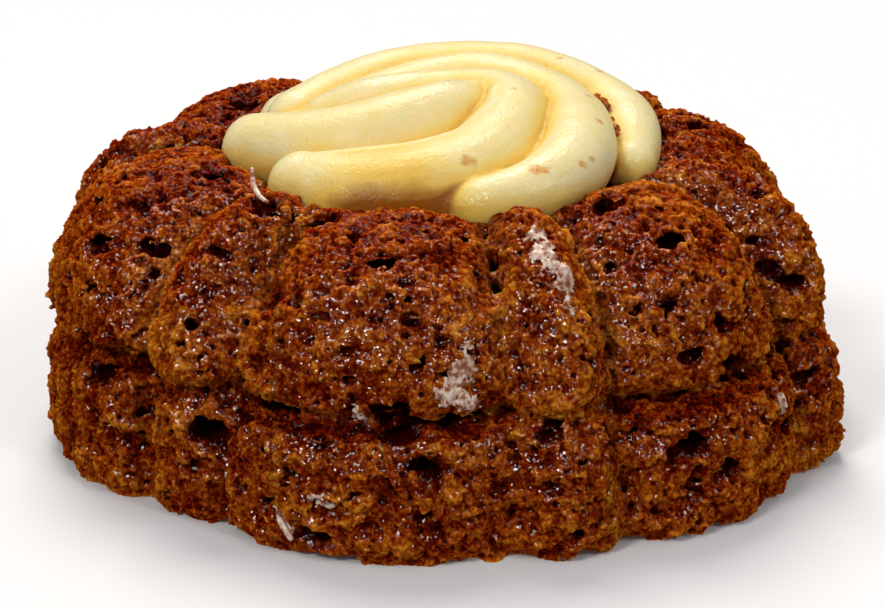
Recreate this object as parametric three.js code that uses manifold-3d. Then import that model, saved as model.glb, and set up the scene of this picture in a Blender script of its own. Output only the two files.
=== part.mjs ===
// A small fluted sponge cake with a swirl of cream piped into its dished top.
// Millimetres, +Z up. The cake stands on z = 0, centred on the Z axis, and its front faces -Y.
// Angles go round the cake in degrees, from the front (-Y) towards +X.

import * as THREE from 'three';
import { mergeVertices } from 'three/addons/utils/BufferGeometryUtils.js';
import Module from 'manifold-3d';

// Driving dimensions of the cake. A crown is the middle of a flute, a valley lies between two flutes.
const SKIRT_RADIUS = 50.6; // crown of the lower tier
const TIER_RADIUS = 47.9; // crown of the upper tier
const VALLEY_DEPTH = 3.5; // of the upright sides, below the crown
const CREASE_HEIGHT = 16.5; // the pinched line between the tiers
const TIER_FOOT_HEIGHT = 18.3; // where the upper tier's side starts
const SKIRT_EDGE_HEIGHT = 11.5; // where the lower tier starts to round in towards the crease
const SKIRT_LIP_HEIGHT = 14.8;
const SKIRT_EDGE_ROUNDING = 0.3;
const SKIRT_LIP_ROUNDING = 1.5;
const CREASE_VALLEY_DEPTH = 1.5; // of the crease, where two flutes meet
const BASE_ROUNDING = 0.9; // the bottom edge turns in by this much
const FOOT_HEIGHT = 1.5;
const CREST_HEIGHT = 36.3;
const CREST_RADIUS = 31.7;
const VALLEY_CREST_HEIGHT = 33.6;
const VALLEY_CREST_RADIUS = 26.5;
const TOP_TILT = 0.04; // rise of the crest towards the back, per millimetre
const WELL_RADIUS = 20;
const WELL_HEIGHT = 30.8; // at the foot of the well's slope
const WELL_CENTRE_HEIGHT = 30;

// How squarely the upper tier turns in to its crest, as a power of the cosine.
const CROWN_SQUARENESS = 0.83;
const VALLEY_SQUARENESS = 1.79;
const TIER_RINGS = 8;
const WELL_RINGS = 2;

// The flutes in order, starting at the left: wide lobes and narrow ridges in turn. Each has its width
// in degrees, how far its two tiers stand out past the usual radius, and how deep its crease is.
const FIRST_VALLEY = -89;
const FLUTES = [
  { width: 40, skirt: 0.0, tier: 2.2, crease: 4.0 },
  { width: 18, skirt: -2.6, tier: 0.0, crease: 1.2 },
  { width: 40, skirt: -1.0, tier: 0.0, crease: 2.4 },
  { width: 16, skirt: -0.4, tier: 0.0, crease: 0.4 },
  { width: 35, skirt: 0.4, tier: 0.0, crease: 1.8 },
  { width: 15, skirt: 1.2, tier: 1.7, crease: 0.6 },
  { width: 49, skirt: -0.6, tier: -2.6, crease: 1.6 },
  { width: 17, skirt: 0.0, tier: -2.0, crease: 0.6 },
  { width: 48, skirt: 0.0, tier: 0.0, crease: 2.2 },
  { width: 17, skirt: 0.0, tier: 0.0, crease: 0.6 },
  { width: 48, skirt: 0.0, tier: 0.6, crease: 2.0 },
  { width: 17, skirt: 0.0, tier: 2.0, crease: 1.0 },
];
const RIDGE_WIDTH_LIMIT = 20; // a flute narrower than this is a ridge
const LOBE_STEPS = 10;
const RIDGE_STEPS = 6;

// The cream's ropes lie in hairpins that open to the left. Each station along a rope is its
// x, y, the height of its top, and half its width.
const ROPES = [
  // the filling under the innermost fold
  [[-17.3, 0, 38.9, 7], [-7.4, 2, 41.3, 9], [4.5, 0, 41.4, 9], [11.4, -1, 39.9, 9]],
  // the innermost fold
  [[-22.9, -3.5, 39.4, 4.6], [-17.3, -7, 40.5, 5.2], [-11.4, -8.5, 41.6, 5.6], [-5.4, -8, 43.1, 5.5],
    [0.5, -5.5, 44.1, 4.8], [3.7, -2.5, 43.5, 3.6]],
  // the first hairpin, round the innermost fold
  [[-16.5, -17, 38.1, 4.2], [-10.4, -20, 38.7, 5.4], [-3.5, -20.5, 39.6, 6], [3, -17.5, 40.8, 6],
    [7.4, -11, 42.7, 5.4], [8.4, -4, 44, 4.8], [5, 0.5, 44.1, 4.3], [-1.5, 1, 43.8, 4.3],
    [-8.4, 0, 43.3, 3.8], [-13.9, 1, 41.1, 3.6]],
  // the second hairpin, which starts under the first
  [[-2.5, -23, 34.3, 5], [4.5, -25.5, 35.2, 5.5], [10.4, -22.5, 36.8, 6], [14.6, -16, 38.9, 6],
    [16.4, -8, 41.2, 6], [15.6, -1, 42.9, 5.5], [11.9, 5, 44.1, 5], [5.5, 9, 44.4, 5],
    [-1.5, 9, 43.7, 4.5], [-7.4, 6.5, 42.5, 4.2], [-12.4, 4.5, 40.9, 3.8]],
  // the outermost band, round the right and the back
  [[19.8, -13, 35.4, 5.4], [21.8, -5, 38.9, 6], [20.8, 3, 41.4, 6], [16.4, 9, 43.5, 6],
    [9.4, 13, 44.7, 6], [0.5, 14.5, 44.6, 6], [-7.4, 13, 43.7, 6], [-13.4, 10, 42.1, 5.5],
    [-18.3, 6, 40.4, 4.6]],
  // the lowest band, behind the outermost one
  [[21.5, 1, 37.4, 5], [20.5, 11, 39.4, 5.6], [13, 18.5, 40.4, 6], [0, 21.5, 40.6, 6],
    [-12.5, 18.5, 39.8, 5.8], [-19.5, 11.5, 38.8, 5]],
];
const ROPE_SIDES = 12;
const ROPE_STEPS_PER_STATION = 3;
const ROPE_CAP_STEPS = 3;
const CREAM_BED = [[0, 28], [20, 28], [23, 32], [19, 35], [13, 37.5], [6, 39], [0, 39.5]]; // radius, height
const CREAM_BED_SIDES = 24;
const REST_GAP = 0.4; // height of the air gap between the cake and the cream that rests on it

const wasm = await Module();
wasm.setup();

// The cake's profile, from the middle of its base out, up and in to the middle of its well.
// Each ring gives the crown's and the valley's radius and height, and which tier it belongs to.
function cakeRings() {
  const ring = (part, crownRadius, crownHeight, valleyRadius, valleyHeight) => ({
    part, crownRadius, crownHeight, valleyRadius, valleyHeight,
  });
  const level = (part, radius, height) => ring(part, radius, height, radius - VALLEY_DEPTH, height);
  const valleyFoot = TIER_RADIUS - VALLEY_DEPTH;
  const rings = [
    ring('middle', 0, 0, 0, 0),
    level('skirt', SKIRT_RADIUS - BASE_ROUNDING, 0),
    level('skirt', SKIRT_RADIUS, FOOT_HEIGHT),
    level('skirt', SKIRT_RADIUS - SKIRT_EDGE_ROUNDING, SKIRT_EDGE_HEIGHT),
    level('skirt', SKIRT_RADIUS - SKIRT_LIP_ROUNDING, SKIRT_LIP_HEIGHT),
    ring('crease', TIER_RADIUS, CREASE_HEIGHT, valleyFoot - CREASE_VALLEY_DEPTH, CREASE_HEIGHT),
  ];
  for (let i = 0; i <= TIER_RINGS; i += 1) {
    const turn = (i / TIER_RINGS) * (Math.PI / 2);
    const inward = Math.max(0, Math.cos(turn));
    rings.push(ring(
      'tier',
      CREST_RADIUS + (TIER_RADIUS - CREST_RADIUS) * inward ** CROWN_SQUARENESS,
      TIER_FOOT_HEIGHT + (CREST_HEIGHT - TIER_FOOT_HEIGHT) * Math.sin(turn),
      VALLEY_CREST_RADIUS + (valleyFoot - VALLEY_CREST_RADIUS) * inward ** VALLEY_SQUARENESS,
      TIER_FOOT_HEIGHT + (VALLEY_CREST_HEIGHT - TIER_FOOT_HEIGHT) * Math.sin(turn),
    ));
  }
  for (let i = 1; i <= WELL_RINGS; i += 1) {
    const down = i / WELL_RINGS;
    const drop = (1 - Math.cos(down * Math.PI)) / 2;
    rings.push(ring(
      'well',
      THREE.MathUtils.lerp(CREST_RADIUS, WELL_RADIUS, down),
      THREE.MathUtils.lerp(CREST_HEIGHT, WELL_HEIGHT, drop),
      THREE.MathUtils.lerp(VALLEY_CREST_RADIUS, WELL_RADIUS, down),
      THREE.MathUtils.lerp(VALLEY_CREST_HEIGHT, WELL_HEIGHT, drop),
    ));
  }
  rings.push(ring('middle', 0, WELL_CENTRE_HEIGHT, 0, WELL_CENTRE_HEIGHT));
  return rings;
}

// Every direction round the cake in which its surface is worked out, closer together in the valleys:
// the angle, the flute it crosses, and how high it is there, from 0 in the valley to 1 on the crown.
function cakeDirections() {
  const directions = [];
  let valley = FIRST_VALLEY;
  for (const flute of FLUTES) {
    const isRidge = flute.width < RIDGE_WIDTH_LIMIT;
    const steps = isRidge ? RIDGE_STEPS : LOBE_STEPS;
    for (let i = 0; i < steps; i += 1) {
      const across = -Math.cos((i / steps) * Math.PI);
      const round = Math.sqrt(Math.max(0, 1 - across ** 2));
      const peaked = (1 - Math.abs(across) ** 1.7) ** 0.75;
      const angle = valley + (flute.width * (across + 1)) / 2;
      directions.push({ angle: THREE.MathUtils.degToRad(angle), flute, height: isRidge ? peaked : round });
    }
    valley += flute.width;
  }
  return directions;
}

// One point of the cake's surface, on a ring and in a direction.
function cakePoint(ring, { angle, flute, height }) {
  const reach = {
    middle: 0,
    skirt: flute.skirt,
    crease: (flute.skirt + flute.tier) / 2 - flute.crease,
    tier: flute.tier,
    well: 0,
  }[ring.part];
  const fullness = Math.min(1, height * 1.5 + 0.3);
  const share = ring.crownRadius / TIER_RADIUS;
  const radius = THREE.MathUtils.lerp(ring.valleyRadius, ring.crownRadius, height) + reach * share * fullness;
  const level = THREE.MathUtils.lerp(ring.valleyHeight, ring.crownHeight, height);
  const x = radius * Math.sin(angle);
  const y = -radius * Math.cos(angle);
  return new THREE.Vector3(x, y, level + (TOP_TILT * y * level) / CREST_HEIGHT);
}

// A turned solid of the right rings, whose points are then moved onto the fluted surface.
function cakeGeometry() {
  const rings = cakeRings();
  const directions = cakeDirections();
  const profile = rings.map((ring) => new THREE.Vector2(ring.crownRadius, ring.crownHeight));
  const geometry = new THREE.LatheGeometry(profile, directions.length);
  const position = geometry.getAttribute('position');
  for (let side = 0; side <= directions.length; side += 1) {
    const direction = directions[side % directions.length];
    rings.forEach((ring, i) => {
      const point = cakePoint(ring, direction);
      position.setXYZ(side * rings.length + i, point.x, point.y, point.z);
    });
  }
  return geometry;
}

// A round-ended bar bent along a rope's stations. The bar's length runs along the rope,
// and its section stays upright and takes the rope's width at each place.
function ropeGeometry(stations) {
  const line = new THREE.CatmullRomCurve3(
    stations.map(([x, y, top, half]) => new THREE.Vector3(x, y, top - half)),
  );
  const steps = (stations.length - 1) * ROPE_STEPS_PER_STATION;
  const geometry = new THREE.CapsuleGeometry(1, 1, ROPE_CAP_STEPS, ROPE_SIDES, steps);
  const position = geometry.getAttribute('position');
  const up = new THREE.Vector3(0, 0, 1);
  for (let i = 0; i < position.count; i += 1) {
    const along = position.getY(i) + 0.5;
    const t = THREE.MathUtils.clamp(along, 0, 1);
    const tangent = line.getTangent(t);
    const side = new THREE.Vector3().crossVectors(tangent, up).normalize();
    const lift = new THREE.Vector3().crossVectors(side, tangent);
    const half = halfWidth(stations, t);
    const point = line.getPoint(t)
      .addScaledVector(side, position.getX(i) * half)
      .addScaledVector(lift, position.getZ(i) * half)
      .addScaledVector(tangent, (along - t) * half);
    position.setXYZ(i, point.x, point.y, point.z);
  }
  return geometry;
}

// Half the width of a rope at t, which goes from 0 at its first station to 1 at its last.
function halfWidth(stations, t) {
  const place = t * (stations.length - 1);
  const before = Math.min(Math.floor(place), stations.length - 2);
  return THREE.MathUtils.lerp(stations[before][3], stations[before + 1][3], place - before);
}

function bedGeometry() {
  const profile = CREAM_BED.map(([radius, height]) => new THREE.Vector2(radius, height));
  return new THREE.LatheGeometry(profile, CREAM_BED_SIDES).rotateX(Math.PI / 2);
}

// A closed geometry as a solid that can be joined and cut. Triangles that shrink to a line at a
// pole are left out.
function toSolid(geometry) {
  const bare = new THREE.BufferGeometry();
  bare.setAttribute('position', geometry.getAttribute('position'));
  bare.setIndex(geometry.getIndex());
  const merged = mergeVertices(bare, 1e-4);
  const corners = merged.getIndex().array;
  const kept = [];
  for (let i = 0; i < corners.length; i += 3) {
    const [a, b, c] = corners.slice(i, i + 3);
    if (a !== b && b !== c && c !== a) {
      kept.push(a, b, c);
    }
  }
  return new wasm.Manifold(new wasm.Mesh({
    numProp: 3,
    vertProperties: new Float32Array(merged.getAttribute('position').array),
    triVerts: new Uint32Array(kept),
  }));
}

function toGeometry(solid) {
  const mesh = solid.getMesh();
  const geometry = new THREE.BufferGeometry();
  geometry.setAttribute('position', new THREE.BufferAttribute(mesh.vertProperties, 3));
  geometry.setIndex(new THREE.BufferAttribute(mesh.triVerts, 1));
  geometry.computeVertexNormals();
  return geometry;
}

function namedMesh(name, geometry, material) {
  const mesh = new THREE.Mesh(geometry, material);
  mesh.name = name;
  return mesh;
}

// Dark, syrup-soaked sponge.
const sponge = new THREE.MeshStandardMaterial({ color: 0x8a4a14, roughness: 0.4, metalness: 0 });

// Pale yellow butter cream.
const butterCream = new THREE.MeshStandardMaterial({ color: 0xf4e6a8, roughness: 0.5, metalness: 0 });

const cakeSolid = toSolid(cakeGeometry());

// The cream is its ropes and the bed under them, down to the cake's surface.
const creamSolid = ROPES.map((stations) => toSolid(ropeGeometry(stations)))
  .reduce((whole, rope) => whole.add(rope), toSolid(bedGeometry()))
  .subtract(cakeSolid.translate([0, 0, REST_GAP]));

const lavaCake = new THREE.Group();
lavaCake.add(namedMesh('cake', toGeometry(cakeSolid), sponge));
lavaCake.add(namedMesh('cream', toGeometry(creamSolid), butterCream));

export default lavaCake;
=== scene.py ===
# A small fluted sponge cake, soaked in syrup, with a swirl of butter cream piped into its dished top.
# Metres, +Z up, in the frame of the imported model.

import math

import bmesh
import bpy
import numpy as np
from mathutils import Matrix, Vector, noise


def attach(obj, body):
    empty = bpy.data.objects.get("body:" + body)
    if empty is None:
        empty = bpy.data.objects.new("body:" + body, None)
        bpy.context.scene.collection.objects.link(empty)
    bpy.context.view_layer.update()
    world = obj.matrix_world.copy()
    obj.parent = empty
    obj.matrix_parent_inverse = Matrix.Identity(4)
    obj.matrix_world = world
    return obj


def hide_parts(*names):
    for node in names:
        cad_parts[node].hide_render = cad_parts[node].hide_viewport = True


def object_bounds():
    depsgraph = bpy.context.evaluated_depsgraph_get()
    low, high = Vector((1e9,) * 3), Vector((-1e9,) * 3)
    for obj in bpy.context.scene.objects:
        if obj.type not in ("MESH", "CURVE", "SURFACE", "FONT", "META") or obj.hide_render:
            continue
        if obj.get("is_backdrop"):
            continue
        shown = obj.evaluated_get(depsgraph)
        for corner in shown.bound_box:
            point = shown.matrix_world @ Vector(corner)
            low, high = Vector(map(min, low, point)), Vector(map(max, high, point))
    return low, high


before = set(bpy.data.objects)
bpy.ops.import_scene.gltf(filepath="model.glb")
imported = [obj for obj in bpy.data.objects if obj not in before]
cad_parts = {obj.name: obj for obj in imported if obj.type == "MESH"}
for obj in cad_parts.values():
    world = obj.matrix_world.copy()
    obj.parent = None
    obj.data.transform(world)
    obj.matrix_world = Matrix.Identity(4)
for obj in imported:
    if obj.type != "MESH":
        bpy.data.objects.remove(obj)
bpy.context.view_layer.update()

# ---- The set: a white paper floor, a broad soft lamp above and behind, two weaker ones low in front, to
# the left and the right, and pale walls all round. The camera stands a forearm away with a long lens.
# The paper and the walls aren't mirrored in the wet cake, which would turn it grey.
MM = 0.001
CAMERA_ELEVATION = math.radians(19.1)
CAMERA_DISTANCE = 260 * MM
CAMERA_TARGET = Vector((-0.11, 0, 13.35)) * MM
LENS = 81.88
FLOOR_SIZE = 6.0
PAPER = "#f0f4fd"
WALLS = "#fbfaf7"
WALL_LIGHT = 0.4
LAMP_COLOUR = "#fff5e8"
# each lamp's name, strength and softness, and how far its beam leans to the back and to the left, in degrees
LAMPS = [("lamp", 1.9, 30, -32, -6), ("left fill", 1.0, 14, 36, -36), ("right fill", 0.5, 14, 30, 42)]


def linear(code):
    """An sRGB hex colour as linear red, green, blue and alpha."""
    parts = [int(code[i:i + 2], 16) / 255 for i in (1, 3, 5)]
    return tuple(c / 12.92 if c <= 0.04045 else ((c + 0.055) / 1.055) ** 2.4 for c in parts) + (1.0,)


def add(tree, kind, inputs=None, **settings):
    """Adds a node, sets its properties, and sets each input or links it to the socket given. A node that
    is given stands for its first output."""
    made = tree.nodes.new(kind)
    for name, value in settings.items():
        setattr(made, name, value)
    for name, value in (inputs or {}).items():
        if isinstance(value, bpy.types.Node):
            value = value.outputs[0]
        if isinstance(value, bpy.types.NodeSocket):
            tree.links.new(value, made.inputs[name])
        else:
            made.inputs[name].default_value = value
    return made


def new_material(name):
    """An empty node material and its tree, ready for a shader."""
    material = bpy.data.materials.new(name)
    material.use_nodes = True
    material.node_tree.nodes.clear()
    return material, material.node_tree


def new_object(name, mesh):
    """An object in the scene, at the origin."""
    made = bpy.data.objects.new(name, mesh)
    bpy.context.scene.collection.objects.link(made)
    return made


camera_data = bpy.data.cameras.new("camera")
camera_data.lens = LENS
camera = new_object("camera", camera_data)
back = Vector((0, -math.cos(CAMERA_ELEVATION), math.sin(CAMERA_ELEVATION)))
camera.location = CAMERA_TARGET + back * CAMERA_DISTANCE
camera.rotation_euler = (math.pi / 2 - CAMERA_ELEVATION, 0, 0)
bpy.context.scene.camera = camera
bpy.context.scene.view_settings.view_transform = "Standard"

world = bpy.data.worlds.new("walls")
world.use_nodes = True
bpy.context.scene.world = world
glow = world.node_tree.nodes["Background"].inputs
glow["Color"].default_value = linear(WALLS)
glow["Strength"].default_value = WALL_LIGHT
world.cycles_visibility.glossy = False

for name, strength, softness, to_back, to_left in LAMPS:
    lamp_data = bpy.data.lights.new(name, "SUN")
    lamp_data.energy = strength
    lamp_data.angle = math.radians(softness)
    lamp_data.color = linear(LAMP_COLOUR)[:3]
    lamp = new_object(name, lamp_data)
    lamp.rotation_euler = (math.radians(to_back), math.radians(to_left), 0)

paper, tree = new_material("matt white paper")
shade = add(tree, "ShaderNodeBsdfPrincipled", {"Base Color": linear(PAPER), "Roughness": 0.8})
add(tree, "ShaderNodeOutputMaterial", {"Surface": shade})
half = FLOOR_SIZE / 2
floor_mesh = bpy.data.meshes.new("floor")
corners = [(-half, -half, 0), (half, -half, 0), (half, half, 0), (-half, half, 0)]
floor_mesh.from_pydata(corners, [], [(0, 1, 2, 3)])
floor_mesh.materials.append(paper)
floor = new_object("floor", floor_mesh)
floor.visible_diffuse = False
floor.visible_glossy = False
floor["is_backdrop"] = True

# ---- The cake: one baked sponge in two tiers with twelve flutes, wide lobes and narrow ridges in turn.
# It was baked in a fluted tin, turned out and soaked in syrup, which has opened its crumb into cells and
# lumps. Its surface is made in twelve pieces that meet inside the cake. Lengths are in millimetres.
SKIRT_RADIUS = 50.6
TIER_RADIUS = 47.9
SKIRT_VALLEY_DEPTH = 3.5
TIER_VALLEY_DEPTH = 4.4
CREASE_HEIGHT = 16.5
CREASE_VALLEY_DEPTH = 1.5
TIER_FOOT_HEIGHT = 18.3
BASE_ROUNDING = 0.9
FOOT_HEIGHT = 1.5
SKIRT_EDGE = (0.3, 11.5)
SKIRT_LIP = (1.5, 14.8)
CREST = (31.7, 36.3)
VALLEY_CREST = (26.0, 33.2)
WELL = (20.0, 30.8)
WELL_CENTRE_HEIGHT = 30.0
TOP_TILT = 0.04
# powers that shape the profile in the crowns and the valleys, and a lobe and a ridge across their width
CROWN_SQUARENESS = 0.83
VALLEY_SQUARENESS = 1.79
LOBE_ROUNDNESS = 0.6
RIDGE_POINT = 1.7
RIDGE_ROUNDNESS = 0.75
# how much of a flute's reach its valleys share, and how fast the rest comes with height
VALLEY_REACH = 0.3
REACH_RISE = 1.5
FIRST_VALLEY = -89
# each flute's width in degrees, how far its skirt and its tier stand out, and how deep its crease is
FLUTES = [
    (40, 0.0, 2.2, 4.0), (18, -2.6, 0.0, 1.2), (40, -1.0, 0.0, 1.6), (16, -0.4, 0.0, 0.4),
    (35, 0.4, 0.0, 1.8), (15, 1.2, 1.7, 0.6), (49, -0.6, -2.6, 1.6), (17, 0.0, -2.0, 0.6),
    (48, 0.0, 0.0, 2.2), (17, 0.0, 0.0, 0.6), (48, 0.0, 0.6, 2.0), (17, 0.0, 2.0, 1.0),
]
RIDGE_WIDTH_LIMIT = 20
LOBE_STEPS = 26
RIDGE_STEPS = 12
TIER_RINGS = 18
WELL_RINGS = 6


def cake_rings():
    """The profile: which part, the crown's radius and height, and the valley's, in millimetres."""
    def level(part, radius, height):
        return part, radius, height, radius - SKIRT_VALLEY_DEPTH, height

    foot = TIER_RADIUS - TIER_VALLEY_DEPTH
    rings = [
        level("skirt", SKIRT_RADIUS - BASE_ROUNDING, 0),
        level("skirt", SKIRT_RADIUS, FOOT_HEIGHT),
        level("skirt", SKIRT_RADIUS - SKIRT_EDGE[0] / 2, SKIRT_EDGE[1] / 2),
        level("skirt", SKIRT_RADIUS - SKIRT_EDGE[0], SKIRT_EDGE[1]),
        level("skirt", SKIRT_RADIUS - SKIRT_LIP[0], SKIRT_LIP[1]),
        ("crease", TIER_RADIUS, CREASE_HEIGHT, foot - CREASE_VALLEY_DEPTH, CREASE_HEIGHT),
    ]
    for i in range(TIER_RINGS + 1):
        turn = i / TIER_RINGS * math.pi / 2
        inward = max(0.0, math.cos(turn))
        rings.append((
            "tier",
            CREST[0] + (TIER_RADIUS - CREST[0]) * inward ** CROWN_SQUARENESS,
            TIER_FOOT_HEIGHT + (CREST[1] - TIER_FOOT_HEIGHT) * math.sin(turn),
            VALLEY_CREST[0] + (foot - VALLEY_CREST[0]) * inward ** VALLEY_SQUARENESS,
            TIER_FOOT_HEIGHT + (VALLEY_CREST[1] - TIER_FOOT_HEIGHT) * math.sin(turn),
        ))
    for i in range(1, WELL_RINGS + 1):
        down = i / WELL_RINGS
        drop = (1 - math.cos(down * math.pi)) / 2
        rings.append((
            "well",
            CREST[0] + (WELL[0] - CREST[0]) * down,
            CREST[1] + (WELL[1] - CREST[1]) * drop,
            VALLEY_CREST[0] + (WELL[0] - VALLEY_CREST[0]) * down,
            VALLEY_CREST[1] + (WELL[1] - VALLEY_CREST[1]) * drop,
        ))
    return rings


def cake_directions():
    """Each direction round the cake: its angle, its flute and how high the flute is there, 0 to 1."""
    directions = []
    valley = FIRST_VALLEY
    for flute in FLUTES:
        is_ridge = flute[0] < RIDGE_WIDTH_LIMIT
        steps = RIDGE_STEPS if is_ridge else LOBE_STEPS
        for i in range(steps):
            across = -math.cos(i / steps * math.pi)
            rounded = max(0.0, 1 - across ** 2) ** LOBE_ROUNDNESS
            peaked = (1 - abs(across) ** RIDGE_POINT) ** RIDGE_ROUNDNESS
            angle = math.radians(valley + flute[0] * (across + 1) / 2)
            directions.append((angle, flute, peaked if is_ridge else rounded))
        valley += flute[0]
    return directions


def cake_point(ring, direction):
    """One point of the smooth fluted form, on a ring and in a direction, in metres."""
    part, crown_radius, crown_height, valley_radius, valley_height = ring
    angle, (_, skirt, tier, crease), height = direction
    reach = {"skirt": skirt, "crease": (skirt + tier) / 2 - crease, "tier": tier, "well": 0}[part]
    fullness = min(1.0, height * REACH_RISE + VALLEY_REACH)
    radius = valley_radius + (crown_radius - valley_radius) * height
    radius += reach * crown_radius / TIER_RADIUS * fullness
    level = valley_height + (crown_height - valley_height) * height
    x, y = radius * math.sin(angle), -radius * math.cos(angle)
    return Vector((x, y, level + TOP_TILT * y * level / CREST[1])) * MM


def skin_faces(rings, sides):
    """The faces of a closed skin: bands of quads between rings of points, and a fan at either end, round
    the two points that come after the rings."""
    around = [(s, (s + 1) % sides) for s in range(sides)]
    bands = [(r * sides, (r + 1) * sides) for r in range(rings - 1)]
    faces = [(here + s, here + e, ahead + e, ahead + s) for here, ahead in bands for s, e in around]
    first, last = rings * sides, (rings - 1) * sides
    faces += [(first, e, s) for s, e in around]
    faces += [(first + 1, last + s, last + e) for s, e in around]
    return faces


def cake_form():
    """The smooth fluted form as a closed mesh."""
    rings, directions = cake_rings(), cake_directions()
    points = [cake_point(ring, direction) for ring in rings for direction in directions]
    points += [Vector((0, 0, 0)), Vector((0, 0, WELL_CENTRE_HEIGHT)) * MM]
    mesh = bpy.data.meshes.new("cake form")
    mesh.from_pydata(points, [], skin_faces(len(rings), len(directions)))
    return mesh


# The crumb's layers, from coarse to fine. Lumps and beads are rounded and packed: their spacing and height.
# Rubble is loose: its size and height. Flakes lie tilted: their spacing and slope. Pinholes: their spacing,
# radius and depth. Pores are gaps between the lumps: for each layer its spacing, the widest radius, the
# share of places without one, and how flat they lie.
LUMPS = [(3.4, 0.8), (1.8, 0.7)]
LUMP_MIDDLE = 0.3
BEAD_SPACING, BEAD_HEIGHT = 0.85, 0.15
RUBBLE_SIZE, RUBBLE_HEIGHT = 1.6, 1.0
FLAKE_SPACING, FLAKE_SLOPE = 1.5, 0.16
PINHOLE_SPACING, PINHOLE_RADIUS, PINHOLE_DEPTH = 1.5, 0.5, 0.9
PORES = [(6.5, 2.4, 0.4, 1.8), (3.1, 1.25, 0.25, 1.5), (1.9, 0.75, 0.3, 1.2)]
# The largest holes: x, y, z, half width and half height.
HOLES = [
    (-19.5, -37.0, 27.5, 2.0, 1.2), (-33.1, -27.7, 26.4, 1.1, 0.8), (-26.3, -38.0, 11.3, 2.5, 1.8),
    (-22.6, -40.4, 13.5, 1.4, 0.7), (-28.5, -37.7, 6.6, 1.0, 0.6), (-10.4, -45.8, 23.4, 1.0, 0.7),
    (-5.6, -47.0, 17.6, 2.8, 0.8), (-4.6, -47.2, 14.3, 2.4, 0.8), (-1.9, -48.7, 11.0, 2.0, 1.4),
    (0.8, -45.1, 16.3, 1.6, 0.8), (7.7, -43.4, 22.5, 0.9, 0.7), (14.8, -29.9, 32.2, 0.8, 0.8),
    (27.1, -42.2, 10.9, 2.6, 1.3), (27.1, -38.8, 20.2, 1.7, 0.8), (33.8, -27.5, 29.1, 1.1, 0.8),
    (41.3, -21.8, 23.2, 1.7, 1.2), (42.3, -23.6, 11.9, 1.0, 1.0), (39.8, -30.6, 8.5, 1.3, 1.2),
    (14.3, -48.0, 3.4, 1.1, 0.8),
]
# The gap between the tiers opens and closes round the cake: its height, how far in it runs, the size of its
# wavering, the noise between which it goes from shut to open, and its open stretches, each from one x to
# another with its share of the height, and how far their ends fade.
GAP_HEIGHT = 1.5
GAP_REACH = 4.5
GAP_WAVER = 4.5
GAP_SHUT, GAP_OPEN = 0.45, 0.57
GAP_STRETCHES = [(-60, -29, 1.5), (-23, 6, 1.2), (19, 37, 0.7), (41, 60, 0.9)]
GAP_FADE = 4.0
# The flat underside and the well below the cream stay even: below and above a height, inside a radius.
# Roughness comes in over a rim of this width.
EVEN_BELOW = (6, 43)
EVEN_ABOVE = (20, 18)
EVEN_RIM = 3
# Holes run this much further in than they are wide, and pores thin out from this share of their reach.
HOLE_STRETCH = 2.2
PORE_FADE = 0.7
# Nothing that shows lies deeper than the first, and the faces down there are merged to the second's size.
UNSEEN_DEPTH = 5.4
UNSEEN_FACE = 2


def new_tree(name, kinds):
    """A tree of geometry nodes with inputs of each kind, and the sockets that give them."""
    tree = bpy.data.node_groups.new(name, "GeometryNodeTree")
    tree.interface.new_socket("Geometry", in_out="INPUT", socket_type="NodeSocketGeometry")
    for kind, names in kinds.items():
        for given_name in names:
            tree.interface.new_socket(given_name, in_out="INPUT", socket_type="NodeSocket" + kind)
    tree.interface.new_socket("Geometry", in_out="OUTPUT", socket_type="NodeSocketGeometry")
    return tree, add(tree, "NodeGroupInput").outputs


def end_tree(tree, geometry, material):
    """Gives what a tree has made its material, as real faces, and hands it out."""
    real = add(tree, "GeometryNodeRealizeInstances", {0: geometry})
    done = add(tree, "GeometryNodeSetMaterial", {"Geometry": real, "Material": material})
    add(tree, "NodeGroupOutput", {0: done})


def stirred_place(tree, place, swing, noise_inputs):
    """A place swung about by noise, which bends what is drawn there out of round."""
    stir = add(tree, "ShaderNodeTexNoise", {"Vector": place} | noise_inputs)
    way = add(tree, "ShaderNodeVectorMath", {
        0: stir.outputs["Color"], 1: (0.5, 0.5, 0.5),
    }, operation="SUBTRACT")
    shift = add(tree, "ShaderNodeVectorMath", {0: way, "Scale": swing}, operation="SCALE")
    return add(tree, "ShaderNodeVectorMath", {0: place, 1: shift}, operation="ADD")


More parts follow.
